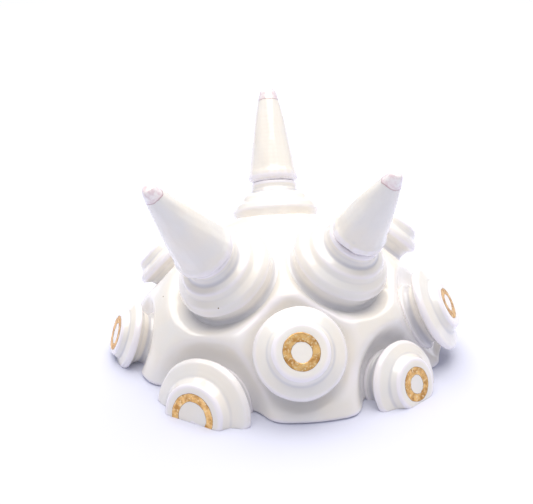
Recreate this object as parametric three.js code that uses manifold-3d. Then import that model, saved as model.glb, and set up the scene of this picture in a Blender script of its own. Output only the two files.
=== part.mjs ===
// Flower frog: a hollow porcelain dome that stands on its rim. Turned, stepped bosses are luted into round
// dishes scooped out of the dome. Three of them carry a cone with a lustred tip, and the others end in a
// flat face with a painted ring of gold lustre. The lowest bosses are cut off flat by the table plane.
// Millimetres, +Z up, the table at z = 0.
import * as THREE from "three";
import { mergeVertices } from "three/addons/utils/BufferGeometryUtils.js";
import Module from "manifold-3d";

// Dome
const DOME_RADIUS = 60; // the outer skin is part of a sphere
const DOME_SINK = 14; // the sphere's centre below the table
const DISH_DEPTH = 6.5; // floor of a dish below the skin, on the dish's axis
const WALL = 5; // porcelain left between the floor of a dish and the hollow
const FOOT_ROUND = 1.6; // rounded lower edge of the skin
// Bosses at size 1: heights are above the skin, on the boss's axis
const DISC_RADIUS = 15.7; // the big lower disc
const DISC_HEIGHT = 2.6;
const OVERHANG = 3.6; // from the disc's edge in to its narrower foot, in the dish
const DISH_MARGIN = 3.3; // from the disc's edge to the dish's rim
const BUTTON_RADIUS = 9.5; // the small upper disc of a knob
const BUTTON_HEIGHT = 7;
const STEP_RADIUS = 11.6; // the step under a cone's neck
const STEP_HEIGHT = 6;
const NECK_RADIUS = 8.3;
const NECK_HEIGHT = 12;
// Cones
const LIP = 0.8; // rounded edge round the cone's base
const CONE_BULGE = 0.4; // how far the side stands out from a straight taper, half way up
const TIP_LENGTH = 4.5; // the part under mother-of-pearl lustre
// Gold lustre
const GOLD_RADIUS = 6.2;
const GOLD_STROKE = 2.6; // width of the brush stroke
const GOLD_THICKNESS = 0.4;
// Pieces that touch are parted by the slip that lutes them together
const SLIP = 0.3;
const CLEARANCE = 12; // how far a scoop reaches out past the dish's rim
// Facets round a turned piece
const ROUND = 24;
const DOME_ROUND = 56;
const CONE_STEPS = 5;

const PORCELAIN = { color: "#eceae2", roughness: 0.18, metalness: 0 };
const GOLD = { color: "#c8903f", roughness: 0.22, metalness: 1 };
const PEARL = { color: "#ecd9dc", roughness: 0.12, metalness: 0.1 };

// Each boss has a direction from the sphere's centre, azimuth from the front (-Y) towards +X, and a size.
// lean turns its axis down towards the table, set moves it out of the skin, disc is its own disc's radius at
// size 1, and gold scales its ring.
// A cone has a base radius, the radius of its blunt end and a length, because no two are thrown alike.
const KNOBS = [
  { name: "front", azimuth: 5.4, elevation: 35.8, size: 1 },
  { name: "front_left", azimuth: -28, elevation: 13.9, size: 1.15, set: -1.5, gold: 1.1 },
  { name: "left", azimuth: -76.3, elevation: 20.5, size: 0.82, set: 1.2, disc: 15.4, gold: 1.22 },
  { name: "front_right", azimuth: 46.4, elevation: 18, size: 0.95, set: -2.6, lean: -4, gold: 0.99 },
  { name: "right", azimuth: 78.6, elevation: 30.8, size: 0.93, set: 1.8, disc: 17, gold: 0.97 },
  { name: "back_left_upper", azimuth: -108, elevation: 40, size: 0.95, set: 1, disc: 14 },
  { name: "back_right_upper", azimuth: 120, elevation: 48, size: 1, set: 4, disc: 13 },
  { name: "back_left", azimuth: -154, elevation: 15, size: 1 },
  { name: "back_right", azimuth: 162, elevation: 15, size: 0.98 },
];
const SPIKES = [
  { name: "left", azimuth: -43.7, elevation: 59.2, size: 1.1, lean: 8, base: 10.6, blunt: 2.1, length: 37.6 },
  { name: "right", azimuth: 46.6, elevation: 64.7, size: 1.1, lean: 5, base: 9.5, blunt: 2.2, length: 30.6 },
  { name: "back", azimuth: 188, elevation: 58, size: 1.03, base: 9.3, blunt: 3, length: 36.2 },
];

const wasm = await Module();
wasm.setup();

// A closed geometry as a solid that can be joined and cut.
function solidOf(geometry) {
  geometry.deleteAttribute("normal");
  geometry.deleteAttribute("uv");
  const merged = mergeVertices(geometry, 1e-4);
  return new wasm.Manifold(
    new wasm.Mesh({
      numProp: 3,
      vertProperties: merged.attributes.position.array,
      triVerts: new Uint32Array(merged.index.array),
    }),
  );
}

// An outline of [radius, height] points, from the axis at the bottom to the axis at the top, turned about +Z.
function turned(outline, facets = ROUND) {
  const points = outline.map(([radius, height]) => new THREE.Vector2(radius, height));
  return new THREE.LatheGeometry(points, facets).rotateX(Math.PI / 2);
}

// Points round an arc in an outline, angles in degrees from the direction of growing radius.
function arc(centreRadius, centreHeight, radius, from, to, steps) {
  return Array.from({ length: steps + 1 }, (_, i) => {
    const angle = THREE.MathUtils.degToRad(from + ((to - from) * i) / steps);
    return [centreRadius + radius * Math.cos(angle), centreHeight + radius * Math.sin(angle)];
  });
}

function direction(azimuth, elevation) {
  return new THREE.Vector3().setFromSphericalCoords(
    1,
    THREE.MathUtils.degToRad(90 - elevation),
    THREE.MathUtils.degToRad(azimuth),
  ).applyAxisAngle(new THREE.Vector3(1, 0, 0), Math.PI / 2);
}

// The placing of a boss: its origin is on the skin and its +Z is its own axis.
function placing({ azimuth, elevation, lean = 0, set = 0 }) {
  const axis = direction(azimuth, elevation - lean);
  const origin = direction(azimuth, elevation)
    .multiplyScalar(DOME_RADIUS)
    .addScaledVector(axis, set)
    .add(new THREE.Vector3(0, 0, -DOME_SINK));
  const turn = new THREE.Quaternion().setFromUnitVectors(new THREE.Vector3(0, 0, 1), axis);
  return new THREE.Matrix4().compose(origin, turn, new THREE.Vector3(1, 1, 1));
}

// Everything stands on the table, so a low piece is cut off flat at z = 0.
const SPACE = 4 * DOME_RADIUS;
const aboveTable = solidOf(new THREE.BoxGeometry(SPACE, SPACE, SPACE).translate(0, 0, SPACE / 2));

const part = new THREE.Group();

function addPiece(name, solid, look) {
  const { vertProperties, triVerts } = solid.getMesh();
  const geometry = new THREE.BufferGeometry();
  geometry.setAttribute("position", new THREE.BufferAttribute(vertProperties, 3));
  geometry.setIndex(new THREE.BufferAttribute(triVerts, 1));
  geometry.computeVertexNormals();
  const mesh = new THREE.Mesh(geometry, new THREE.MeshStandardMaterial(look));
  mesh.name = name;
  part.add(mesh);
}

function addTurned(name, outline, place, look) {
  const solid = solidOf(turned(outline).applyMatrix4(place));
  addPiece(name, solid.intersect(aboveTable), look);
}

// The dome's outer skin: the sphere down to a small round at the foot, then the flat underside.
function domeOutline() {
  const roundHeight = DOME_SINK + FOOT_ROUND;
  const roundCentre = Math.sqrt((DOME_RADIUS - FOOT_ROUND) ** 2 - roundHeight ** 2);
  const join = THREE.MathUtils.radToDeg(Math.atan2(roundHeight, roundCentre));
  return [
    [0, 0],
    ...arc(roundCentre, FOOT_ROUND, FOOT_ROUND, -90, join, 4),
    ...arc(0, -DOME_SINK, DOME_RADIUS, join, 90, 18).slice(1, -1),
    [0, DOME_RADIUS - DOME_SINK],
  ];
}

// What is scooped out for one boss: a flat seat, a hollow round rise to the rim, and the space outside it.
function dishOutline(size, disc) {
  const rim = (disc + DISH_MARGIN) * size;
  const rimHeight = Math.sqrt(DOME_RADIUS ** 2 - rim ** 2) - DOME_RADIUS;
  const rise = rimHeight + DISH_DEPTH;
  return [
    [0, -DISH_DEPTH],
    ...arc(rim - rise, rimHeight, rise, -90, -10, 4),
    [rim + CLEARANCE / 2, rimHeight + CLEARANCE],
    [0, rimHeight + CLEARANCE],
  ];
}

function knobOutline(size, disc) {
  const r = (radius) => radius * size;
  const h = (height) => height * size;
  return [
    [0, SLIP - DISH_DEPTH],
    [r(disc) - OVERHANG, SLIP - DISH_DEPTH],
    [r(disc) - OVERHANG / 2, -h(DISC_HEIGHT - 0.6)],
    [r(disc) - 0.3, 0],
    ...arc(r(disc) - h(1.6), h(DISC_HEIGHT) - h(1.6), h(1.6), 0, 75, 2),
    [r(BUTTON_RADIUS) + h(1.2), h(DISC_HEIGHT + 1.1)],
    [r(BUTTON_RADIUS), h(DISC_HEIGHT + 2)],
    ...arc(r(BUTTON_RADIUS) - h(1.3), h(BUTTON_HEIGHT - 1.3), h(1.3), 0, 90, 2),
    [0, h(BUTTON_HEIGHT)],
  ];
}

function spikeBossOutline(size) {
  const r = (radius) => radius * size;
  const h = (height) => height * size;
  return [
    [0, SLIP - DISH_DEPTH],
    [r(DISC_RADIUS) - OVERHANG, SLIP - DISH_DEPTH],
    [r(DISC_RADIUS) - OVERHANG / 2, -h(DISC_HEIGHT - 0.6)],
    [r(DISC_RADIUS) - 0.3, 0],
    ...arc(r(DISC_RADIUS) - h(1.8), h(DISC_HEIGHT) - h(1.8), h(1.8), 0, 70, 2),
    [r(STEP_RADIUS) + h(0.8), h(STEP_HEIGHT - 1.2)],
    [r(STEP_RADIUS), h(STEP_HEIGHT)],
    [r(NECK_RADIUS) + h(0.6), h(STEP_HEIGHT + 1.3)],
    [r(NECK_RADIUS), h(STEP_HEIGHT + 2.2)],
    [r(NECK_RADIUS), h(NECK_HEIGHT)],
    [0, h(NECK_HEIGHT)],
  ];
}

// The cone's side: a straight taper from the base to under the blunt end, with a slight swell.
function coneRadius(share, base, blunt) {
  return THREE.MathUtils.lerp(base, blunt, share) + CONE_BULGE * Math.sin(Math.PI * share);
}

function addSpike({ name, size, base, blunt, length, ...at }) {
  const place = placing(at);
  addTurned("spike_boss_" + name, spikeBossOutline(size), place, PORCELAIN);
  const foot = NECK_HEIGHT * size + SLIP;
  const split = length - TIP_LENGTH;
  const side = Array.from({ length: CONE_STEPS + 1 }, (_, i) => {
    const along = LIP + ((split - LIP) * i) / CONE_STEPS;
    return [coneRadius(along / length, base, blunt), foot + along];
  });
  addTurned("cone_" + name, [[0, foot], [base - LIP, foot], ...side, [0, foot + split]], place, PORCELAIN);
  const tip = [
    [0, foot + split + SLIP],
    [coneRadius((split + SLIP) / length, base, blunt), foot + split + SLIP],
    ...arc(0, foot + length - blunt, blunt, 15, 75, 3),
    [0, foot + length],
  ];
  addTurned("pearl_tip_" + name, tip, place, PEARL);
}

function addKnob({ name, size, disc = DISC_RADIUS, gold = 1, ...at }) {
  const place = placing(at);
  addTurned("knob_" + name, knobOutline(size, disc), place, PORCELAIN);
  const bottom = BUTTON_HEIGHT * size + SLIP;
  const outer = GOLD_RADIUS * size * gold;
  const inner = outer - GOLD_STROKE;
  const section = [
    [inner, bottom],
    [outer, bottom],
    [outer, bottom + GOLD_THICKNESS],
    [inner, bottom + GOLD_THICKNESS],
    [inner, bottom],
  ];
  addTurned("gold_ring_" + name, section, place, GOLD);
}

let dome = solidOf(turned(domeOutline(), DOME_ROUND));
for (const { size, disc = DISC_RADIUS, ...at } of [...KNOBS, ...SPIKES]) {
  dome = dome.subtract(solidOf(turned(dishOutline(size, disc)).applyMatrix4(placing(at))));
}
const hollow = new THREE.SphereGeometry(DOME_RADIUS - DISH_DEPTH - WALL, 40, 24).translate(0, 0, -DOME_SINK);
addPiece("dome_shell", dome.subtract(solidOf(hollow)), PORCELAIN);
KNOBS.forEach(addKnob);
SPIKES.forEach(addSpike);

// The origin is on the table, under the middle of the whole outline.
const middle = new THREE.Box3().setFromObject(part).getCenter(new THREE.Vector3());
part.position.set(-middle.x, -middle.y, 0);

export default part;
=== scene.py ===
import math

import bmesh
import bpy
import numpy as np
from mathutils import Matrix, Vector
from mathutils.bvhtree import BVHTree


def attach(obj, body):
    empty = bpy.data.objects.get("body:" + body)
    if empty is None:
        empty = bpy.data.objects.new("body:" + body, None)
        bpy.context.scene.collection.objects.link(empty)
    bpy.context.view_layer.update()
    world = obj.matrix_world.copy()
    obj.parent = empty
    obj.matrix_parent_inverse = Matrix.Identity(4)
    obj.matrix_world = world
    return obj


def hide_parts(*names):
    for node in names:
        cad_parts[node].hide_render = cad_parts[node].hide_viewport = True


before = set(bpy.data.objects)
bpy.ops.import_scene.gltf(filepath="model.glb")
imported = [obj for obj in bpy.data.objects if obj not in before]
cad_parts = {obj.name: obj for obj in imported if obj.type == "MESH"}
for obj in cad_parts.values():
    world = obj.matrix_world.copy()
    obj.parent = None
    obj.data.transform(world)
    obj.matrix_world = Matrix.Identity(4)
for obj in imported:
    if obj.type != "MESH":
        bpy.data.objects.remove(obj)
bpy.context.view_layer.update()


# ---- Dome ----
# The dome is one hollow porcelain shell, open below. A round dish is scooped out of it for every boss, and
# where two dishes meet, the clay between them is left as a soft crest. It is glazed all over, and the glaze
# is wiped off the flat foot rim, so that it doesn't stick to the kiln shelf.
MM = 0.001
DOME_RADIUS = 60 * MM
DOME_CENTRE = Vector((1.088, -1.314, -14)) * MM  # under the table and a little off the outline's middle
DISH_DEPTH = 6.5 * MM
DISH_MARGIN = 3.3 * MM  # from the edge of the disc that stands in it to the rim, at size 1
DISH_SLOPE = 6 * MM  # how wide the rise from the dish's floor to its rim is
DISH_STEEPNESS = 1.8
DISH_REACH = 0.78  # a dish shapes only the skin in directions whose cosine to its axis is above this
CREST = 2.4 * MM  # how softly two surfaces meet at a crest
LIP = 0.2 * MM  # clay pushed up round a dish
LIP_WIDTH = 2.4 * MM
FOOT_ROUND = 1.6 * MM
FOOT_SEARCH = (3, 40)  # the table cuts the skin between these elevations, in degrees
HOLLOW_RADIUS = 48.5 * MM
PEAK = 0.6 * MM  # a peak higher than this over its surroundings is sponged down
PEAK_PASSES = 40
SPONGE_PASSES = 7
BEND_PASSES = 3
HAND = 0.22 * MM  # how far a hand-made surface strays
SKIN_WAVE = 38 * MM  # how far apart the dome's own uneven places are
DISH_WAVE = 30 * MM
WAVES = 5
COLUMNS = 448
ROWS = 186
HOLLOW_ROWS = 14
SEARCH_STEPS = 18
SEARCH_PACE = 0.8
SEARCH_LIMITS = (0.8 * DOME_RADIUS, 1.4 * DOME_RADIUS)
THROWING_PITCH = 1.7 * MM  # the rings that fingers leave, under the glaze
SPECK_SPACING = 11 * MM
SPECK_SHARE = 0.3  # of the places where an iron speck could be
SPECK_RADII = (0.030, 0.018)  # to its soft edge and to its full colour, as parts of the spacing
DISC_RADIUS = 15.7  # of a boss of size 1, in millimetres

# Each boss: azimuth from the front towards +X and elevation of its place on the dome, in degrees, how far
# its axis leans down towards the table, its size, how far it is set out of the skin, and the radius of its
# disc at size 1, both in millimetres.
BOSSES = {
    "knob_front": (5.4, 35.8, 0, 1, 0, DISC_RADIUS),
    "knob_front_left": (-28, 13.9, 0, 1.15, -1.5, DISC_RADIUS),
    "knob_left": (-76.3, 20.5, 0, 0.82, 1.2, 15.4),
    "knob_front_right": (46.4, 18, -4, 0.95, -2.6, DISC_RADIUS),
    "knob_right": (78.6, 30.8, 0, 0.93, 1.8, 17),
    "knob_back_left_upper": (-108, 40, 0, 0.95, 1, 14),
    "knob_back_right_upper": (120, 48, 0, 1, 4, 13),
    "knob_back_left": (-154, 15, 0, 1, 0, DISC_RADIUS),
    "knob_back_right": (162, 15, 0, 0.98, 0, DISC_RADIUS),
    "spike_boss_left": (-43.7, 59.2, 8, 1.1, 0, DISC_RADIUS),
    "spike_boss_right": (46.6, 64.7, 5, 1.1, 0, DISC_RADIUS),
    "spike_boss_back": (188, 58, 0, 1.03, 0, DISC_RADIUS),
}


def direction(azimuth, elevation):
    """The way from the sphere's centre to a place on the dome, both angles in degrees."""
    a, e = math.radians(azimuth), math.radians(elevation)
    return Vector((math.sin(a) * math.cos(e), -math.cos(a) * math.cos(e), math.sin(e)))


def placing(boss):
    """Where a boss stands: its origin is on the skin and its +Z is its own axis."""
    azimuth, elevation, lean, _, out, _ = BOSSES[boss]
    axis = direction(azimuth, elevation - lean)
    origin = DOME_CENTRE + direction(azimuth, elevation) * DOME_RADIUS + axis * out * MM
    return Matrix.Translation(origin) @ Vector((0, 0, 1)).rotation_difference(axis).to_matrix().to_4x4()


def stray(points, seed, wavelength):
    """A smooth unevenness between -1 and 1, as a hand leaves in clay."""
    random = np.random.default_rng(seed)
    total = 0
    for _ in range(WAVES):
        wave = random.normal(size=3)
        wave *= 2 * math.pi / (wavelength * np.linalg.norm(wave))
        total = total + np.sin(points @ wave + random.uniform(0, 2 * math.pi))
    return total / WAVES


def soft_min(a, b, softness):
    """The smaller of a and b, rounded over where they are about the same."""
    share = np.clip(0.5 + 0.5 * (b - a) / softness, 0, 1)
    return b + (a - b) * share - softness * share * (1 - share)


def skin_distance(rays):
    """How far the glazed skin is from the sphere's centre along each ray."""
    skin = DOME_RADIUS + HAND * stray(rays * DOME_RADIUS, 3, SKIN_WAVE)
    dishes, lipped = [], np.zeros(len(rays))
    for number, (boss, (*_, size, _out, disc)) in enumerate(BOSSES.items()):
        # Each ray is followed in the boss's own space until it meets the wall or the floor of the dish.
        back = np.array(placing(boss).inverted())
        near = rays @ back[2, :3] > DISH_REACH
        start = back[:3, :3] @ np.array(DOME_CENTRE) + back[:3, 3]
        steps = rays[near] @ back[:3, :3].T
        rim = (disc * MM + DISH_MARGIN) * size
        rim_height = math.sqrt(DOME_RADIUS**2 - rim**2) - DOME_RADIUS
        wall = rim_height + DISH_DEPTH
        reach = np.full(len(steps), DOME_RADIUS)
        for _ in range(SEARCH_STEPS):
            place = start + reach[:, None] * steps
            across = np.hypot(place[:, 0], place[:, 1]) + 0.5 * HAND * stray(place, number, DISH_WAVE)
            up = np.clip((across - rim + DISH_SLOPE) / DISH_SLOPE, 0, None)
            rise = np.where(up < 1, up**DISH_STEEPNESS, 1 + DISH_STEEPNESS * (up - 1))
            reach += SEARCH_PACE * (wall * rise - DISH_DEPTH - place[:, 2]) / steps[:, 2]
            reach = np.clip(reach, *SEARCH_LIMITS)
        raised = LIP * np.exp(-(((across - rim) / LIP_WIDTH) ** 2))
        skin[near] += raised * (1 - np.clip(lipped[near], 0, 1))
        lipped[near] += raised / LIP
        dishes.append((near, reach))
    for near, reach in dishes:
        skin[near] = soft_min(skin[near], reach, CREST)
    return skin


def smoothed(field, passes):
    """Evens out heights in rows round the dome, and leaves the lowest row as it is."""
    for _ in range(passes):
        field = (np.roll(field, 1, 1) + 2 * field + np.roll(field, -1, 1)) / 4
        inner = (field[:-2] + 2 * field[1:-1] + field[2:]) / 4
        field = np.concatenate([field[:1], inner, field[-1:]])
    return field


def sponged(field):
    """Takes down peaks left between dishes and softens the sharpest crests, as a wet sponge does."""
    return smoothed(np.minimum(field, smoothed(field, PEAK_PASSES) + PEAK), SPONGE_PASSES)


def rays_at(turns, elevations):
    """Directions from the sphere's centre, both angles in radians."""
    return np.stack([
        np.sin(turns) * np.cos(elevations),
        -np.cos(turns) * np.cos(elevations),
        np.sin(elevations),
    ], -1)


def dome_rows():
    """The skin from the table to just under the top: its columns, points and how deep each lies, 0 to 1."""
    turns = np.linspace(0, 2 * math.pi, COLUMNS, endpoint=False)
    low, high = [np.full(COLUMNS, math.radians(elevation)) for elevation in FOOT_SEARCH]
    for _ in range(SEARCH_STEPS):
        middle = (low + high) / 2
        rays = rays_at(turns, middle)
        above = skin_distance(rays) * rays[:, 2] + DOME_CENTRE.z > 0
        low, high = np.where(above, low, middle), np.where(above, middle, high)
    share = np.linspace(0, 1, ROWS, endpoint=False)[:, None]
    elevations = low + (math.pi / 2 - low) * share
    rays = rays_at(np.broadcast_to(turns, elevations.shape), elevations).reshape(-1, 3)
    distance = sponged(skin_distance(rays).reshape(ROWS, COLUMNS)).reshape(-1)
    points = rays * distance[:, None]
    points[:COLUMNS, 2] = -DOME_CENTRE.z
    height = np.clip(points[:, 2] + DOME_CENTRE.z, 0, FOOT_ROUND)
    tuck = FOOT_ROUND - np.sqrt(FOOT_ROUND**2 - (FOOT_ROUND - height) ** 2)
    level = np.linalg.norm(points[:, :2], axis=1)
    points[:, :2] *= (1 - tuck / level)[:, None]
    return turns, points, np.clip((DOME_RADIUS - distance) / DISH_DEPTH, 0, 1)


def band(first, second, count=COLUMNS):
    """Four-sided faces between two rings of vertices, given by their first numbers."""
    faces = []
    for i in range(count):
        after = (i + 1) % count
        faces.append((first + i, first + after, second + after, second + i))
    return faces


def build_dome():
    turns, points, depth = dome_rows()
    rows = [points]
    lowest = math.asin(-DOME_CENTRE.z / HOLLOW_RADIUS)
    for elevation in np.linspace(lowest, math.pi / 2, HOLLOW_ROWS, endpoint=False):
        rows.append(rays_at(turns, np.full(COLUMNS, elevation)) * HOLLOW_RADIUS)
    top = skin_distance(np.array([[0.0, 0.0, 1.0]]))[0]
    rows.append(np.array([[0, 0, top], [0, 0, HOLLOW_RADIUS]]))
    vertices = np.concatenate(rows) + np.array(DOME_CENTRE)
    faces, hollow = [], COLUMNS * ROWS
    for row in range(ROWS - 1):
        faces += band(row * COLUMNS, (row + 1) * COLUMNS)
    for row in range(HOLLOW_ROWS - 1):
        faces += [face[::-1] for face in band(hollow + row * COLUMNS, hollow + (row + 1) * COLUMNS)]
    skin_top, hollow_top = len(vertices) - 2, len(vertices) - 1
    for i in range(COLUMNS):
        after = (i + 1) % COLUMNS
        faces.append((hollow - COLUMNS + i, hollow - COLUMNS + after, skin_top))
        faces.append((skin_top - COLUMNS + after, skin_top - COLUMNS + i, hollow_top))
    foot = len(faces)
    faces += band(hollow, 0)
    mesh = bpy.data.meshes.new("dome")
    mesh.from_pydata(vertices.tolist(), [], faces)
    mesh.shade_smooth()
    # Painted shade: how deep the skin lies in a dish, kept so the glaze is painted a cool grey there,
    # partly for glaze pooling.
    pooled_glaze_and_shade = np.zeros(len(vertices))
    pooled_glaze_and_shade[: len(depth)] = depth
    mesh.attributes.new("pooled_glaze_and_shade", "FLOAT", "POINT").data.foreach_set("value", pooled_glaze_and_shade)
    mesh.attributes.new("along", "FLOAT", "POINT")
    for face in range(foot, len(faces)):
        mesh.polygons[face].material_index = 1
        mesh.polygons[face].use_smooth = False
    return mesh


def mark_bends(mesh):
    """Stores how sharply the skin bends, in 1/mm: above 0 where it stands out, under 0 in a groove."""
    places, normals = np.empty((2, len(mesh.vertices), 3))
    mesh.vertices.foreach_get("co", places.reshape(-1))
    mesh.vertices.foreach_get("normal", normals.reshape(-1))
    ends = np.empty(2 * len(mesh.edges), int)
    mesh.edges.foreach_get("vertices", ends)
    first, second = ends.reshape(-1, 2).T
    span = places[second] - places[first]
    fall, square, joined = np.zeros((3, len(mesh.vertices)))
    for end, way in ((first, -2), (second, 2)):
        np.add.at(fall, end, way * (normals[end] * span).sum(1))
        np.add.at(square, end, (span**2).sum(1))
        np.add.at(joined, end, 1)
    bend = fall / np.maximum(square, 1e-12) * MM
    for _ in range(BEND_PASSES):
        total = np.zeros(len(bend))
        np.add.at(total, first, bend[second])
        np.add.at(total, second, bend[first])
        bend = (bend + total) / (1 + joined)
    mesh.attributes.new("bend", "FLOAT", "POINT").data.foreach_set("value", bend)


def show(name, mesh, node):
    """Puts a finished mesh in the scene in place of the CAD node that it stands for."""
    mark_bends(mesh)
    piece = bpy.data.objects.new(name, mesh)
    bpy.context.scene.collection.objects.link(piece)
    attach(piece, "root")
    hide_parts(node)


def colour(hex_code):
    """An sRGB hex colour as linear red, green, blue and alpha."""
    channels = [int(hex_code[i : i + 2], 16) / 255 for i in (1, 3, 5)]
    return tuple(c / 12.92 if c <= 0.04045 else ((c + 0.055) / 1.055) ** 2.4 for c in channels) + (1,)


def add_node(tree, kind, inputs=(), **settings):
    """Adds a node. inputs holds pairs of a socket and its value or the output to link to it."""
    node = tree.nodes.new(kind)
    for name, value in settings.items():
        setattr(node, name, value)
    for socket, value in inputs:
        if isinstance(value, bpy.types.NodeSocket):
            tree.links.new(value, node.inputs[socket])
        else:
            node.inputs[socket].default_value = value
    return node


def new_material(name):
    material = bpy.data.materials.new(name)
    material.use_nodes = True
    tree = material.node_tree
    tree.nodes.clear()
    return material, tree


def tinted(tree, body, layers):
    """A body colour with tints laid over it, each growing as its value goes from none to full."""
    for value, none, full, tint in layers:
        share = add_node(tree, "ShaderNodeMapRange", [
            ("Value", value), ("From Min", none), ("From Max", full),
        ], interpolation_type="SMOOTHSTEP").outputs["Result"]
        body = add_node(tree, "ShaderNodeMix", [
            (0, share), (6, body), (7, colour(tint)),
        ], data_type="RGBA").outputs[2]
    return body


# Porcelain under a clear, thick gloss glaze, dipped and fired: an ivory body that lets a little light in,
# with faint throwing rings on the turned pieces, painted lilac-white highlight lines along edges that stand
# out, where the glaze also runs thin, a cool grey painted shade deep in the dishes and round the bosses'
# feet, where the glaze also pools, a darker painted shade in creases, a faint orange peel, and here and
# there a tiny brown iron speck.
def glazed_porcelain():
    material, tree = new_material("dipped gloss glaze on porcelain")
    place = add_node(tree, "ShaderNodeTexCoord").outputs["Object"]
    bend, pooled_glaze_and_shade, along = [
        add_node(tree, "ShaderNodeAttribute", attribute_name=name).outputs["Fac"]
        for name in ("bend", "pooled_glaze_and_shade", "along")
    ]
    clouds, patches, peel = [
        add_node(tree, "ShaderNodeTexNoise", [
            ("Vector", place), ("Scale", 1 / size), ("Detail", detail),
        ]).outputs["Fac"]
        for size, detail in ((15 * MM, 2.0), (9 * MM, 2.0), (2.6 * MM, 1.0))
    ]
    body = tinted(tree, colour("#F2EDE5"), [
        (clouds, 0.35, 0.65, "#EEECE9"),
        # Painted shade: a cool grey deeper in the dishes and round the bosses' feet, partly where the glaze
        # pools.
        (pooled_glaze_and_shade, 0.25, 1.1, "#DEDDE0"),
        # Painted shade: creases and grooves, where the skin bends inwards, are painted a darker cool grey.
        (bend, -0.04, -0.3, "#CFCFD6"),
        # Painted highlight: edges that stand out are painted lilac-white, standing in for highlight lines
        # and partly for the glaze running thin off them.
        (bend, 0.06, 0.3, "#F6F2F8"),
    ])
    cells = add_node(tree, "ShaderNodeTexVoronoi", [("Vector", place), ("Scale", 1 / SPECK_SPACING)])
    speck = add_node(tree, "ShaderNodeMapRange", [
        ("Value", cells.outputs["Distance"]), ("From Min", SPECK_RADII[0]), ("From Max", SPECK_RADII[1]),
    ], interpolation_type="SMOOTHSTEP").outputs["Result"]
    chosen = add_node(tree, "ShaderNodeSeparateColor", [(0, cells.outputs["Color"])]).outputs[0]
    rare = [(0, chosen), (1, SPECK_SHARE)]
    rare = add_node(tree, "ShaderNodeMath", rare, operation="LESS_THAN").outputs[0]
    speck = add_node(tree, "ShaderNodeMath", [(0, speck), (1, rare)], operation="MULTIPLY").outputs[0]
    body = add_node(tree, "ShaderNodeMix", [
        (0, speck), (6, body), (7, colour("#8A7350")),
    ], data_type="RGBA").outputs[2]
    turns = add_node(tree, "ShaderNodeMath", [
        (0, along), (1, 2 * math.pi / THROWING_PITCH),
    ], operation="MULTIPLY").outputs[0]
    rings = add_node(tree, "ShaderNodeMath", [(0, turns)], operation="SINE").outputs[0]
    rings = add_node(tree, "ShaderNodeBump", [
        ("Height", rings), ("Distance", 0.006 * MM), ("Strength", 1.0),
    ]).outputs["Normal"]
    peel = add_node(tree, "ShaderNodeBump", [
        ("Height", peel), ("Distance", 0.05 * MM), ("Strength", 1.0), ("Normal", rings),
    ]).outputs["Normal"]
    gloss = add_node(tree, "ShaderNodeMapRange", [
        ("Value", patches), ("From Min", 0.3), ("From Max", 0.7), ("To Min", 0.16), ("To Max", 0.24),
    ], interpolation_type="SMOOTHSTEP").outputs["Result"]
    shader = add_node(tree, "ShaderNodeBsdfPrincipled", [
        ("Base Color", body), ("Roughness", gloss), ("IOR", 1.52),
        ("Subsurface Weight", 0.18), ("Subsurface Scale", 1.2 * MM),
        ("Subsurface Radius", (1.0, 0.92, 0.85)),
        ("Coat Weight", 0.55), ("Coat Roughness", 0.05), ("Coat IOR", 1.5),
        ("Normal", peel),
    ])
    add_node(tree, "ShaderNodeOutputMaterial", [("Surface", shader.outputs["BSDF"])])
    return material


# Bare fired porcelain on the foot: chalky, a little darker than the glaze, and stained by the shelf.
def bare_porcelain():
    material, tree = new_material("unglazed porcelain foot")
    place = add_node(tree, "ShaderNodeTexCoord").outputs["Object"]
    stains, grain = [
        add_node(tree, "ShaderNodeTexNoise", [
            ("Vector", place), ("Scale", 1 / size), ("Detail", detail),
        ]).outputs["Fac"]
        for size, detail in ((6 * MM, 4.0), (0.5 * MM, 3.0))
    ]
    body = tinted(tree, colour("#E6E1D6"), [(stains, 0.4, 0.7, "#D3CBBB")])
    grain = add_node(tree, "ShaderNodeBump", [("Height", grain), ("Distance", 0.04 * MM)]).outputs["Normal"]
    shader = add_node(tree, "ShaderNodeBsdfPrincipled", [
        ("Base Color", body), ("Roughness", 0.85), ("IOR", 1.5), ("Normal", grain),
    ])
    add_node(tree, "ShaderNodeOutputMaterial", [("Surface", shader.outputs["BSDF"])])
    return material


glaze = glazed_porcelain()
dome_mesh = build_dome()
dome_mesh.materials.append(glaze)
dome_mesh.materials.append(bare_porcelain())
show("dome", dome_mesh, "dome_shell")


# ---- Turned bosses ----
# Each boss is one piece of porcelain turned on the wheel: a big disc, then a smaller step. Its foot is
# scored, wetted with slip and pressed into its dish, and the lowest ones are cut off flat with the foot of
# the dome. A node tree turns an outline about its axis, rounds its corners and lets the surface stray.
FACETS = 144  # round a turned piece
SAMPLES = 96  # along its outline
JOINT_SINK = 0.7 * MM  # how far a foot sits in the slip, so that the glaze runs over the joint
SLIP_LEVEL = -5  # in millimetres: an outline's points under this one keep their height at every size
STEP_RADIUS = 10  # in millimetres: a boss with its own disc radius keeps its outline inside this one
DISC_RISE = 5  # and takes the whole change from this far outside it
# An outline is a list of radius, height and corner rounding, in millimetres, from the foot up to the axis.
KNOB = [
    (12.6, -5.9, 0), (10.8, -5.0, 1.5), (12.2, -1.9, 2), (15.9, 0.4, 1.3), (14.9, 2.4, 1.3),
    (10.9, 3.9, 1.2), (9.9, 5.4, 0.8), (9.3, 6.8, 1.1), (7.9, 7.0, 1),
]
SPIKE_BOSS = [
    (16.2, -5.9, 0), (14.6, -5.0, 1.5), (15.2, -1.9, 2.5), (15.9, 0.4, 1.3), (14.8, 2.7, 1.4),
    (12.6, 4.2, 1.2), (11.6, 6.1, 1.3), (9.0, 7.2, 1.2), (8.2, 9, 1.5), (8.3, 11.4, 1),
]


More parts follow.
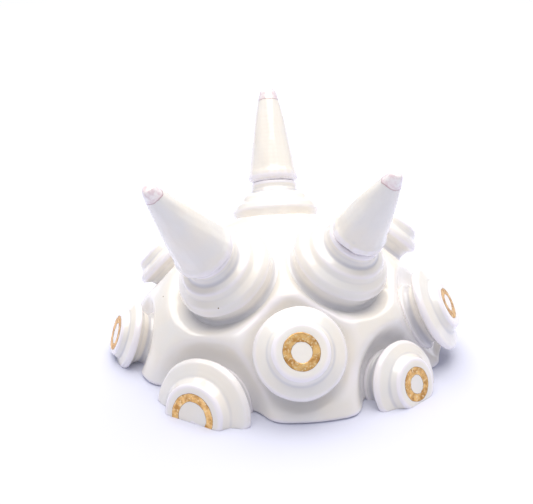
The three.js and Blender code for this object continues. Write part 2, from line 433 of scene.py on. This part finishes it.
def thrown_tree():
    """A node tree that turns the outline in a curve object about +Z, as a wheel does."""
    tree = bpy.data.node_groups.new("Thrown on the wheel", "GeometryNodeTree")
    for name, kind, value in (
        ("Geometry", "NodeSocketGeometry", None),
        ("Outline", "NodeSocketObject", None),
        ("Facets", "NodeSocketInt", FACETS),
        ("Samples", "NodeSocketInt", SAMPLES),
        ("Stray", "NodeSocketFloat", HAND),
        ("Lump", "NodeSocketFloat", 14 * MM),
        ("Pull", "NodeSocketFloat", 1.0),
        ("Seed", "NodeSocketFloat", 0.0),
        ("Clay", "NodeSocketMaterial", None),
    ):
        socket = tree.interface.new_socket(name, in_out="INPUT", socket_type=kind)
        if value is not None:
            socket.default_value = value
    tree.interface.new_socket("Geometry", in_out="OUTPUT", socket_type="NodeSocketGeometry")
    given = add_node(tree, "NodeGroupInput").outputs
    outline = add_node(tree, "GeometryNodeObjectInfo", [("Object", given["Outline"])]).outputs["Geometry"]
    radius = add_node(tree, "GeometryNodeInputRadius").outputs[0]
    rounded = add_node(tree, "GeometryNodeFilletCurve", [
        ("Curve", outline), ("Count", 7), ("Radius", radius), ("Limit Radius", True),
    ], mode="POLY").outputs["Curve"]
    around = add_node(tree, "ShaderNodeMath", [(0, given["Facets"]), (1, 1.0)], operation="ADD").outputs[0]
    sheet = add_node(tree, "GeometryNodeMeshGrid", [
        ("Size X", 1.0), ("Size Y", 1.0), ("Vertices X", given["Samples"]), ("Vertices Y", around),
    ]).outputs["Mesh"]
    place = add_node(tree, "GeometryNodeInputPosition").outputs[0]
    parts = add_node(tree, "ShaderNodeSeparateXYZ", [(0, place)]).outputs
    factor = add_node(tree, "ShaderNodeMath", [(0, parts["X"]), (1, 0.5)], operation="ADD").outputs[0]
    turn = add_node(tree, "ShaderNodeMath", [
        (0, parts["Y"]), (1, 2 * math.pi), (2, math.pi),
    ], operation="MULTIPLY_ADD").outputs[0]
    point = add_node(tree, "GeometryNodeSampleCurve", [
        ("Curves", rounded), ("Factor", factor),
    ], mode="FACTOR").outputs["Position"]
    flat = add_node(tree, "ShaderNodeSeparateXYZ", [(0, point)]).outputs
    length = add_node(tree, "GeometryNodeCurveLength", [("Curve", rounded)]).outputs[0]
    along = add_node(tree, "ShaderNodeMath", [(0, factor), (1, length)], operation="MULTIPLY").outputs[0]
    marked = add_node(tree, "GeometryNodeStoreNamedAttribute", [
        ("Geometry", sheet), ("Name", "along"), ("Value", along),
    ], data_type="FLOAT", domain="POINT").outputs["Geometry"]
    # Painted shade: the foot under a boss's disc, deep in its dish, is marked for the glaze's cool grey,
    # partly glaze pooling.
    depth = add_node(tree, "ShaderNodeMapRange", [
        ("Value", flat["Z"]), ("From Min", -1.5 * MM), ("From Max", -5.5 * MM),
    ]).outputs["Result"]
    marked = add_node(tree, "GeometryNodeStoreNamedAttribute", [
        ("Geometry", marked), ("Name", "pooled_glaze_and_shade"), ("Value", depth),
    ], data_type="FLOAT", domain="POINT").outputs["Geometry"]
    spun = add_node(tree, "ShaderNodeVectorRotate", [
        ("Vector", point), ("Angle", turn),
    ], rotation_type="Z_AXIS").outputs["Vector"]
    spun = add_node(tree, "GeometryNodeSetPosition", [
        ("Geometry", marked), ("Position", spun),
    ]).outputs["Geometry"]
    closed = add_node(tree, "GeometryNodeMergeByDistance", [
        ("Geometry", spun), ("Distance", 0.002 * MM),
    ]).outputs["Geometry"]
    here = add_node(tree, "GeometryNodeInputPosition").outputs[0]
    pulled = add_node(tree, "ShaderNodeMath", [(0, 1.0), (1, given["Pull"])], operation="DIVIDE").outputs[0]
    pulled = add_node(tree, "ShaderNodeCombineXYZ", [(0, 1.0), (1, 1.0), (2, pulled)]).outputs[0]
    here = add_node(tree, "ShaderNodeVectorMath", [(0, here), (1, pulled)], operation="MULTIPLY").outputs[0]
    pitch = add_node(tree, "ShaderNodeMath", [(0, 1.0), (1, given["Lump"])], operation="DIVIDE").outputs[0]
    lumps = add_node(tree, "ShaderNodeTexNoise", [
        ("Vector", here), ("W", given["Seed"]), ("Scale", pitch), ("Detail", 1.0),
    ], noise_dimensions="4D").outputs["Fac"]
    push = add_node(tree, "ShaderNodeMath", [(0, lumps), (1, 0.5)], operation="SUBTRACT").outputs[0]
    for strength in (given["Stray"], 4.0):
        push = add_node(tree, "ShaderNodeMath", [(0, push), (1, strength)], operation="MULTIPLY").outputs[0]
    normal = add_node(tree, "GeometryNodeInputNormal").outputs[0]
    push = [(0, normal), ("Scale", push)]
    push = add_node(tree, "ShaderNodeVectorMath", push, operation="SCALE").outputs[0]
    strayed = add_node(tree, "GeometryNodeSetPosition", [
        ("Geometry", closed), ("Offset", push),
    ]).outputs["Geometry"]
    smooth = add_node(tree, "GeometryNodeSetShadeSmooth", [("Geometry", strayed)]).outputs["Geometry"]
    real = add_node(tree, "GeometryNodeRealizeInstances", [("Geometry", smooth)]).outputs["Geometry"]
    glazed = add_node(tree, "GeometryNodeSetMaterial", [
        ("Geometry", real), ("Material", given["Clay"]),
    ]).outputs["Geometry"]
    add_node(tree, "NodeGroupOutput", [("Geometry", glazed)])
    return tree


thrown = thrown_tree()


def run_tree(tree, **sizes):
    """The mesh that a node tree makes with these named inputs."""
    carrier = bpy.data.objects.new("carrier", bpy.data.meshes.new("carrier"))
    bpy.context.scene.collection.objects.link(carrier)
    modifier = carrier.modifiers.new("tree", "NODES")
    modifier.node_group = tree
    for item in tree.interface.items_tree:
        if item.in_out == "INPUT" and item.name in sizes:
            modifier[item.identifier] = sizes[item.name]
    graph = bpy.context.evaluated_depsgraph_get()
    made = carrier.evaluated_get(graph)
    mesh = bpy.data.meshes.new_from_object(made, preserve_all_data_layers=True, depsgraph=graph)
    bpy.data.objects.remove(carrier)
    return mesh


def throw(outline, seed, **sizes):
    """A closed turned piece, standing on its own axis, from an outline in metres."""
    curve = bpy.data.curves.new("outline", "CURVE")
    curve.dimensions = "3D"
    line = curve.splines.new("POLY")
    line.points.add(len(outline) - 1)
    for point, (radius, height, rounding) in zip(line.points, outline):
        point.co = (radius, 0, height, 1)
        point.radius = rounding
    holder = bpy.data.objects.new("outline", curve)
    bpy.context.scene.collection.objects.link(holder)
    mesh = run_tree(thrown, Outline=holder, Seed=float(seed), Clay=glaze, **sizes)
    bpy.data.objects.remove(holder)
    return mesh


def seat(mesh, place):
    """Turns a piece into its place, cuts off flat what is under the table, and closes the cut."""
    form = bmesh.new()
    form.from_mesh(mesh)
    form.transform(place)
    if min(v.co.z for v in form.verts) < 0:
        everything = form.verts[:] + form.edges[:] + form.faces[:]
        bmesh.ops.bisect_plane(
            form, geom=everything, dist=1e-7, plane_co=(0, 0, 0), plane_no=(0, 0, 1), clear_inner=True,
        )
        open_edges = [e for e in form.edges if e.is_boundary]
        flat = bmesh.ops.holes_fill(form, edges=open_edges, sides=0)["faces"]
        for face in flat:
            face.smooth = False
        bmesh.ops.triangulate(form, faces=flat)
    bmesh.ops.recalc_face_normals(form, faces=form.faces[:])
    form.to_mesh(mesh)
    form.free()
    return mesh


def scaled(outline, size, disc):
    """An outline in metres at this size, with this disc's radius, whose foot stays on the dish's floor."""
    points = []
    for radius, height, rounding in outline:
        radius -= (DISC_RADIUS - disc) * min(max((radius - STEP_RADIUS) / DISC_RISE, 0), 1)
        height = height if height < SLIP_LEVEL else height * size
        points.append((radius * size * MM, height * MM, rounding * size * MM))
    foot = -DISH_DEPTH - JOINT_SINK
    top = points[-1][1]
    return [(0, foot, 0), (points[0][0], foot, 0), *points, (0, top, 0)]


def shape_of(mesh):
    """The surface of a mesh, for laying a film on it."""
    corners = [tuple(face.vertices) for face in mesh.polygons]
    return BVHTree.FromPolygons([vertex.co[:] for vertex in mesh.vertices], corners)


boss_shapes = {}
for number, (boss, (*_, size, _out, disc)) in enumerate(BOSSES.items()):
    outline = KNOB if boss.startswith("knob") else SPIKE_BOSS
    turned = throw(scaled(outline, size, disc), 7 + 3.1 * number)
    boss_shapes[boss] = shape_of(turned)
    show(boss + "_turned", seat(turned, placing(boss)), boss)


# ---- Cones ----
# A thrown, slightly swelling cone of porcelain is luted on each neck, with a small rounded lip where it
# meets the neck and a blunt end. No two are alike: each has its own base, end and length.
NECK_HEIGHT = 12 * MM
SWELL = 0.4 * MM
CONE_STRAY = 0.3 * MM
CONE_LUMP = 4.5 * MM
CONE_PULL = 10.0  # how many times longer than wide the lumps are drawn out by the fingers
CONES = {  # radius of the base and of the blunt end, and length, in millimetres
    "left": (10.6, 2.1, 37.6),
    "right": (9.5, 2.2, 30.6),
    "back": (9.3, 3.0, 36.2),
}


def cone_radius(share, base, blunt):
    """How thick the cone is at a share of its length, with a slight swell halfway."""
    return base + (blunt - base) * share + SWELL * math.sin(math.pi * share)


def cone_outline(base, blunt, length, foot):
    """The lip at the foot, the side and the blunt end, for the wheel."""
    side = []
    for share in (0.12, 0.25, 0.4, 0.55, 0.7, 0.84):
        side.append((cone_radius(share, base, blunt), foot + share * length, 8 * MM))
    return [
        (0, foot - 0.5 * MM, 0),
        (base - 1.3 * MM, foot - 0.5 * MM, 0),
        (base - 0.9 * MM, foot + 0.1 * MM, 0.2 * MM),
        (base + 0.1 * MM, foot + 0.7 * MM, 0.7 * MM),
        (base, foot + 2.6 * MM, 2 * MM),
        *side,
        (blunt + 0.1 * MM, foot + length - 1.2 * MM, 1.6 * MM),
        (blunt * 0.7, foot + length, 1.2 * MM),
        (0, foot + length, 0),
    ]


cone_shapes = {}
for number, (name, (base, blunt, length)) in enumerate(CONES.items()):
    boss = "spike_boss_" + name
    foot = NECK_HEIGHT * BOSSES[boss][3]
    outline = cone_outline(base * MM, blunt * MM, length * MM, foot)
    turned = throw(outline, 50 + number, Stray=CONE_STRAY, Lump=CONE_LUMP, Pull=CONE_PULL)
    cone_shapes[name] = shape_of(turned)
    show("cone_" + name + "_thrown", seat(turned, placing(boss)), "cone_" + name)


# ---- Mother-of-pearl tips ----
# The end of each cone is dipped in mother-of-pearl lustre and fired again: a thin film, pinkish and
# iridescent, whose lower edge runs unevenly round the cone.
FILM = 0.05 * MM
FILM_ROOT = 0.12 * MM  # how far a film reaches into the glaze that it is fired on
CAST_FROM = 5 * MM  # how far off the surface a film's points are dropped from
CAST_LENGTH = 15 * MM
TIP_LENGTH = 4.6 * MM
TIP_ROWS = 40
TIP_COLUMNS = 96


# Mother-of-pearl lustre over glaze: a glassy, white to pink film with a soft play of colour, cloudy all
# over and pinker along its lower edge, where it ran thick.
def pearl_lustre():
    material, tree = new_material("mother-of-pearl lustre, dipped and fired")
    place = add_node(tree, "ShaderNodeTexCoord").outputs["Object"]
    edge = add_node(tree, "ShaderNodeAttribute", attribute_name="edge").outputs["Fac"]
    clouds, ripple = [
        add_node(tree, "ShaderNodeTexNoise", [
            ("Vector", place), ("Scale", 1 / size), ("Detail", detail),
        ]).outputs["Fac"]
        for size, detail in ((1.2 * MM, 3.0), (0.9 * MM, 2.0))
    ]
    body = tinted(tree, colour("#FBF4F6"), [(clouds, 0.35, 0.7, "#EDD8DF"), (edge, 0.6, 1.0, "#C9A6AD")])
    ripple = [("Height", ripple), ("Distance", 0.03 * MM)]
    ripple = add_node(tree, "ShaderNodeBump", ripple).outputs["Normal"]
    shader = add_node(tree, "ShaderNodeBsdfPrincipled", [
        ("Base Color", body), ("Metallic", 0.0), ("Roughness", 0.14), ("IOR", 1.6),
        ("Coat Weight", 0.8), ("Coat Roughness", 0.04),
        ("Thin Film Thickness", 420.0), ("Thin Film IOR", 1.7), ("Normal", ripple),
    ])
    add_node(tree, "ShaderNodeOutputMaterial", [("Surface", shader.outputs["BSDF"])])
    return material


pearl = pearl_lustre()


def on_surface(tree, points, ways, lift):
    """Points laid along their ways on the surface in tree, and lift above it; a miss stays put."""
    laid = points.copy()
    for i, (point, way) in enumerate(zip(points, ways)):
        hit = tree.ray_cast(Vector(point + way * CAST_FROM), Vector(-way), CAST_LENGTH)[0]
        if hit is not None:
            laid[i] = np.array(hit) + way * lift
    return laid


def film_mesh(name, outer, inner, edge, material):
    """A closed thin skin from two sheets of points, in rows and columns that close on themselves."""
    rows, columns = outer.shape[:2]
    half = rows * columns
    vertices = np.concatenate([outer.reshape(-1, 3), inner.reshape(-1, 3)])
    faces = []
    for row in range(rows - 1):
        faces += band(row * columns, (row + 1) * columns, columns)
        faces += [face[::-1] for face in band(half + row * columns, half + (row + 1) * columns, columns)]
    faces += [face[::-1] for face in band(0, half, columns)]
    faces += band((rows - 1) * columns, half + (rows - 1) * columns, columns)
    mesh = bpy.data.meshes.new(name)
    mesh.from_pydata(vertices.tolist(), [], faces)
    mesh.attributes.new("edge", "FLOAT", "POINT").data.foreach_set("value", np.tile(edge.reshape(-1), 2))
    form = bmesh.new()
    form.from_mesh(mesh)
    bmesh.ops.remove_doubles(form, verts=form.verts[:], dist=1e-7)
    form.to_mesh(mesh)
    form.free()
    mesh.shade_smooth()
    mesh.materials.append(material)
    return mesh


def tip_cap(name, cone, blunt, length, foot, seed):
    """The film on the end of a cone: up its side from an uneven edge, then over its blunt end."""
    around = np.linspace(0, 2 * math.pi, TIP_COLUMNS, endpoint=False)
    ring = np.stack([np.cos(around), np.sin(around), 0 * around], -1)
    up = np.array([0, 0, 1])
    start = length - TIP_LENGTH + 0.9 * MM * stray(ring, seed, 2.4) + 0.3 * MM * stray(ring, seed + 9, 0.6)
    turn_at = length - blunt
    points, ways = [], []
    for share in np.linspace(0, 1, TIP_ROWS):
        turn = max(share - 0.5, 0) * math.pi
        way = ring * math.cos(turn) + up * math.sin(turn)
        height = start + (turn_at - start) * min(2 * share, 1)
        points.append(way * blunt + up * (foot + height)[:, None])
        ways.append(way)
    points, ways = np.stack(points), np.stack(ways)
    outer, inner = [
        on_surface(cone, points.reshape(-1, 3), ways.reshape(-1, 3), lift).reshape(points.shape)
        for lift in (FILM, -FILM_ROOT)
    ]
    edge = np.tile(np.linspace(1, 0, TIP_ROWS)[:, None] ** 3, (1, TIP_COLUMNS))
    return film_mesh(name, outer, inner, edge, pearl)


for number, (name, (_base, blunt, length)) in enumerate(CONES.items()):
    boss = "spike_boss_" + name
    foot = NECK_HEIGHT * BOSSES[boss][3]
    cap = tip_cap("tip_" + name, cone_shapes[name], blunt * MM, length * MM, foot, 20 + number)
    show("tip_" + name + "_lustre", seat(cap, placing(boss)), "pearl_tip_" + name)


# ---- Gold rings ----
# One turn of a loaded brush of liquid gold on the flat end of each knob, fired at a low heat. The stroke is
# uneven in width, with a browner, thin edge and a mottled, slightly rough surface.
GOLD_RADIUS = 6.2 * MM  # at size 1, to the outside of the stroke
GOLD_STROKE = 2.6 * MM
KNOB_TOP = 7.0 * MM
RING_ROWS = 13
RING_COLUMNS = 160
GOLD_SCALE = {  # the rings that were painted larger or smaller than their knob's size asks for
    "knob_front_left": 1.1,
    "knob_front_right": 0.99,
    "knob_left": 1.22,
    "knob_right": 0.97,
}


# Liquid gold painted on and fired: a thin metal film that is bright where it lies thick, browner where the
# brush left it thin, these brown patches also being painted dark reflections, with small painted glints of
# a paler gold, browner along its edge, and slightly rough, so that it glints in patches.
def gold_lustre():
    material, tree = new_material("brushed liquid gold lustre, fired")
    place = add_node(tree, "ShaderNodeTexCoord").outputs["Object"]
    edge = add_node(tree, "ShaderNodeAttribute", attribute_name="edge").outputs["Fac"]
    thin_and_dark_reflection, painted_glints, worn, grain = [
        add_node(tree, "ShaderNodeTexNoise", [
            ("Vector", place), ("Scale", 1 / size), ("Detail", 3.0),
        ]).outputs["Fac"]
        for size in (2.2 * MM, 0.8 * MM, 1.1 * MM, 0.5 * MM)
    ]
    body = tinted(tree, colour("#FFD48E"), [
        # Browner patches where the gold is thin, which are also painted dark reflections.
        (thin_and_dark_reflection, 0.36, 0.66, "#D09A58"),
        # Painted highlight: small random patches of paler gold painted in as glints.
        (painted_glints, 0.5, 0.72, "#FFE9BC"),
        (edge, 0.7, 1.0, "#9A6C3C"),
    ])
    worn = add_node(tree, "ShaderNodeMapRange", [
        ("Value", worn), ("To Min", 0.28), ("To Max", 0.6),
    ]).outputs["Result"]
    grain = add_node(tree, "ShaderNodeBump", [("Height", grain), ("Distance", 0.03 * MM)]).outputs["Normal"]
    shader = add_node(tree, "ShaderNodeBsdfPrincipled", [
        ("Base Color", body), ("Metallic", 1.0), ("Roughness", worn), ("Normal", grain),
    ])
    add_node(tree, "ShaderNodeOutputMaterial", [("Surface", shader.outputs["BSDF"])])
    return material


gold = gold_lustre()


def brush_ring(name, knob, outer_radius, height, seed):
    """One stroke of gold round a knob's end, laid on the knob's own surface."""
    around = np.linspace(0, 2 * math.pi, RING_COLUMNS, endpoint=False)
    ring = np.stack([np.cos(around), np.sin(around), 0 * around], -1)
    outside = outer_radius + 0.22 * MM * stray(ring, seed, 1.6) + 0.08 * MM * stray(ring, seed + 1, 0.35)
    width = GOLD_STROKE * (1 + 0.28 * stray(ring, seed + 2, 3.0)) + 0.12 * MM * stray(ring, seed + 3, 0.4)
    share = np.linspace(0, 1, RING_ROWS)[:, None]
    sheets = []
    for lift in (FILM, -FILM_ROOT):
        radius = outside - width * (1 - share)
        sheet = [radius * ring[:, 0], radius * ring[:, 1], np.full(radius.shape, height)]
        sheet = np.stack(sheet, -1)[::-1]
        up = np.tile([0.0, 0.0, 1.0], (sheet.size // 3, 1))
        sheets.append(on_surface(knob, sheet.reshape(-1, 3), up, lift).reshape(sheet.shape))
    edge = np.broadcast_to(np.abs(2 * share - 1) ** 3, (RING_ROWS, RING_COLUMNS))
    return film_mesh(name, *sheets, edge, gold)


for number, boss in enumerate(b for b in BOSSES if b.startswith("knob")):
    size = BOSSES[boss][3]
    name = boss.replace("knob", "gold_ring")
    outer_radius = GOLD_RADIUS * size * GOLD_SCALE.get(boss, 1)
    stroke = brush_ring(name + "_stroke", boss_shapes[boss], outer_radius, KNOB_TOP * size, 80 + 5 * number)
    show(name + "_stroke", seat(stroke, placing(boss)), name)


# ---- Table, light and camera ----
# A matt white table under one big soft light overhead, with white walls all round. The camera stands about
# 0.4 m off and looks down at the front of the dome.
TABLE_HALF = 3.0
LIGHT_PLACE = (0, 0.22, 0.97)
LIGHT_AIM = (0, 0, 0.03)
LIGHT_SIZE = 1.5
LIGHT_POWER = 17.5
WALL_STRENGTH = 0.56
CAMERA_DISTANCE = 407.1 * MM
CAMERA_ELEVATION = 29.56
CAMERA_AIM = Vector((-7.26, 0, 34.87)) * MM  # from the middle of the dome's foot
LENS = 73.4
SENSOR = 36


def table_top():
    material, tree = new_material("matt white table")
    shader = add_node(tree, "ShaderNodeBsdfPrincipled", [
        ("Base Color", colour("#D6D9EA")), ("Roughness", 0.9), ("Specular IOR Level", 0.2),
    ])
    add_node(tree, "ShaderNodeOutputMaterial", [("Surface", shader.outputs["BSDF"])])
    mesh = bpy.data.meshes.new("table")
    corners = [(x * TABLE_HALF, y * TABLE_HALF, 0) for x, y in ((-1, -1), (1, -1), (1, 1), (-1, 1))]
    mesh.from_pydata(corners, [], [(0, 1, 2, 3)])
    mesh.materials.append(material)
    table = bpy.data.objects.new("table", mesh)
    bpy.context.scene.collection.objects.link(table)


def aimed(name, data, place, aim):
    """Puts a light or a camera at a place, looking at another."""
    thing = bpy.data.objects.new(name, data)
    thing.location = place
    thing.rotation_euler = (Vector(aim) - Vector(place)).to_track_quat("-Z", "Y").to_euler()
    bpy.context.scene.collection.objects.link(thing)
    return thing


table_top()

light = bpy.data.lights.new("overhead", "AREA")
light.shape = "DISK"
light.size = LIGHT_SIZE
light.energy = LIGHT_POWER
light.color = colour("#FFFAF2")[:3]
aimed("overhead", light, LIGHT_PLACE, LIGHT_AIM)

world = bpy.data.worlds.new("white walls")
bpy.context.scene.world = world
world.use_nodes = True
world.node_tree.nodes["Background"].inputs["Color"].default_value = colour("#EEEEF4")
world.node_tree.nodes["Background"].inputs["Strength"].default_value = WALL_STRENGTH

lens = bpy.data.cameras.new("camera")
lens.sensor_width = SENSOR
lens.lens = LENS
dome_foot = Vector((DOME_CENTRE.x, DOME_CENTRE.y, 0))
viewpoint = dome_foot + direction(0, CAMERA_ELEVATION) * CAMERA_DISTANCE
bpy.context.scene.camera = aimed("camera", lens, viewpoint, dome_foot + CAMERA_AIM)
bpy.context.scene.view_settings.view_transform = "Standard"
